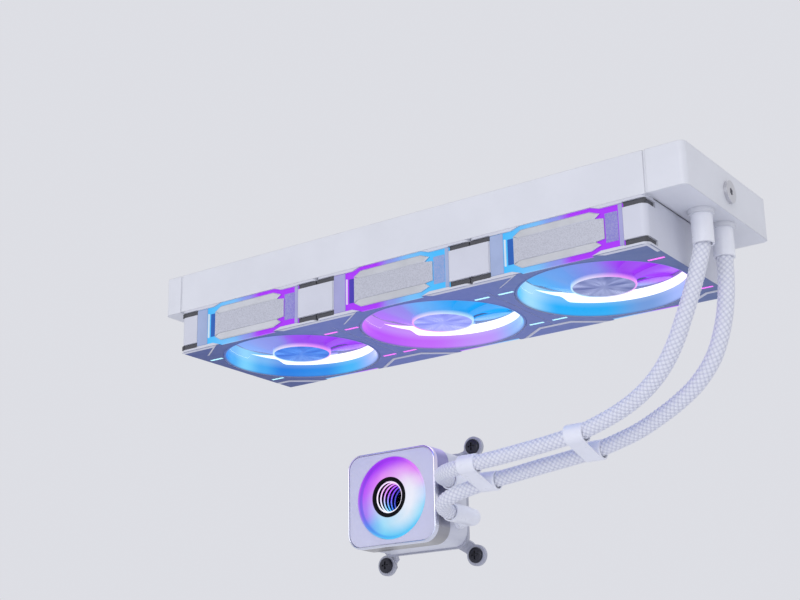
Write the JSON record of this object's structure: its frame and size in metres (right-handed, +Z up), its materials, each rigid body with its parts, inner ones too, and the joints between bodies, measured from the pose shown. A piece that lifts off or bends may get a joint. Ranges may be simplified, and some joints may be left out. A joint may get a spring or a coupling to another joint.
{
  "type": "liquid cooling radiator",
  "caption": "Sealed liquid cooler: a slim radiator with lit fans under it, braided hoses in clips and a pump block with a round lit face.",
  "frame": {"origin": "centre of the radiator's top face, at the middle fan's bolt pattern", "axes": "+X along the radiator to the tank with the hose ports, +Y to the back where the pump block hangs, +Z up out of the top face"},
  "size_m": [0.404, 0.1766, 0.2],
  "materials": {
    "white_aluminium": "white powder coat, fine texture",
    "fin_aluminium": "white lacquered folded strip",
    "screw_steel": "zinc plated",
    "dark_steel": "black oxide",
    "frame_plastic": "white moulded plastic, fine texture",
    "diffuser": "frosted translucent, lit from inside",
    "silver_plate": "bead blasted with smooth bevels",
    "motor": "enamelled coils on a dark core",
    "blade_plastic": "frosted translucent, lit at the tips",
    "hub_metal": "spun metal disc",
    "pump_plastic": "white moulded plastic",
    "sleeve_metal": "brushed and anodised",
    "trim_chrome": "polished bevel",
    "cap_plastic": "soft matte white",
    "black_plastic": "gloss black",
    "mirror_glass": "half-silvered mirror",
    "circuit_board": "solder mask",
    "copper": "machined copper",
    "gasket_rubber": "soft rubber",
    "bracket_steel": "light grey paint",
    "fitting_plastic": "smooth white plastic",
    "hose_braid": "white braided sleeve over rubber tube"
  },
  "bodies": {
    "cooler": {"core_tubes": "white_aluminium", "core_fins": "fin_aluminium", "header_plates": "white_aluminium", "tank_left": "white_aluminium", "tank_right": "white_aluminium", "side_rail_front": "white_aluminium", "side_rail_back": "white_aluminium", "tank_barbs": "white_aluminium", "fill_plug": "screw_steel", "fan_frame_left": "frame_plastic", "fan_frame_middle": "frame_plastic", "fan_frame_right": "frame_plastic", "light_ring_left": "diffuser", "light_ring_middle": "diffuser", "light_ring_right": "diffuser", "fan_lights_left": "diffuser", "fan_lights_middle": "diffuser", "fan_lights_right": "diffuser", "side_plates_left": "silver_plate", "side_plates_middle": "silver_plate", "side_plates_right": "silver_plate", "fan_motor_left": "motor", "fan_motor_middle": "motor", "fan_motor_right": "motor", "fan_screws": "screw_steel", "corner_covers": "frame_plastic", "pump_housing": "pump_plastic", "pump_sleeve": "sleeve_metal", "pump_trim": "trim_chrome", "pump_cap": "cap_plastic", "light_dish": "diffuser", "mirror_cup": "black_plastic", "mirror_glass": "mirror_glass", "led_board": "circuit_board", "pump_stator": "motor", "cold_plate": "copper", "cold_plate_gasket": "gasket_rubber", "cold_plate_screws": "screw_steel", "cpu_bracket": "bracket_steel", "cpu_screws": "dark_steel", "elbow_upper": "fitting_plastic", "elbow_lower": "fitting_plastic", "pump_ferrules": "fitting_plastic", "tank_ferrules": "fitting_plastic", "hose_upper": "hose_braid", "hose_lower": "hose_braid", "clip_pump_end": "fitting_plastic", "clip_radiator_end": "fitting_plastic"},
    "spinner_left": {"rotor_left": "blade_plastic", "hub_cap_left": "hub_metal", "fan_shaft_left": "screw_steel"},
    "spinner_middle": {"rotor_middle": "blade_plastic", "hub_cap_middle": "hub_metal", "fan_shaft_middle": "screw_steel"},
    "spinner_right": {"rotor_right": "blade_plastic", "hub_cap_right": "hub_metal", "fan_shaft_right": "screw_steel"},
    "impeller": {"impeller": "black_plastic"}
  },
  "joints": [
    {"name": "fan_spin_left", "type": "hinge", "parent": "cooler", "child": "spinner_left", "pos_m": [-0.12, 0, -0.045], "axis": [0, 0, 1], "continuous": true},
    {"name": "fan_spin_middle", "type": "hinge", "parent": "cooler", "child": "spinner_middle", "pos_m": [0, 0, -0.045], "axis": [0, 0, 1], "continuous": true},
    {"name": "fan_spin_right", "type": "hinge", "parent": "cooler", "child": "spinner_right", "pos_m": [0.12, 0, -0.045], "axis": [0, 0, 1], "continuous": true},
    {"name": "impeller_spin", "type": "hinge", "parent": "cooler", "child": "impeller", "pos_m": [-0.085, 0.098, -0.1535], "axis": [0, -1, 0], "continuous": true}
  ]
}
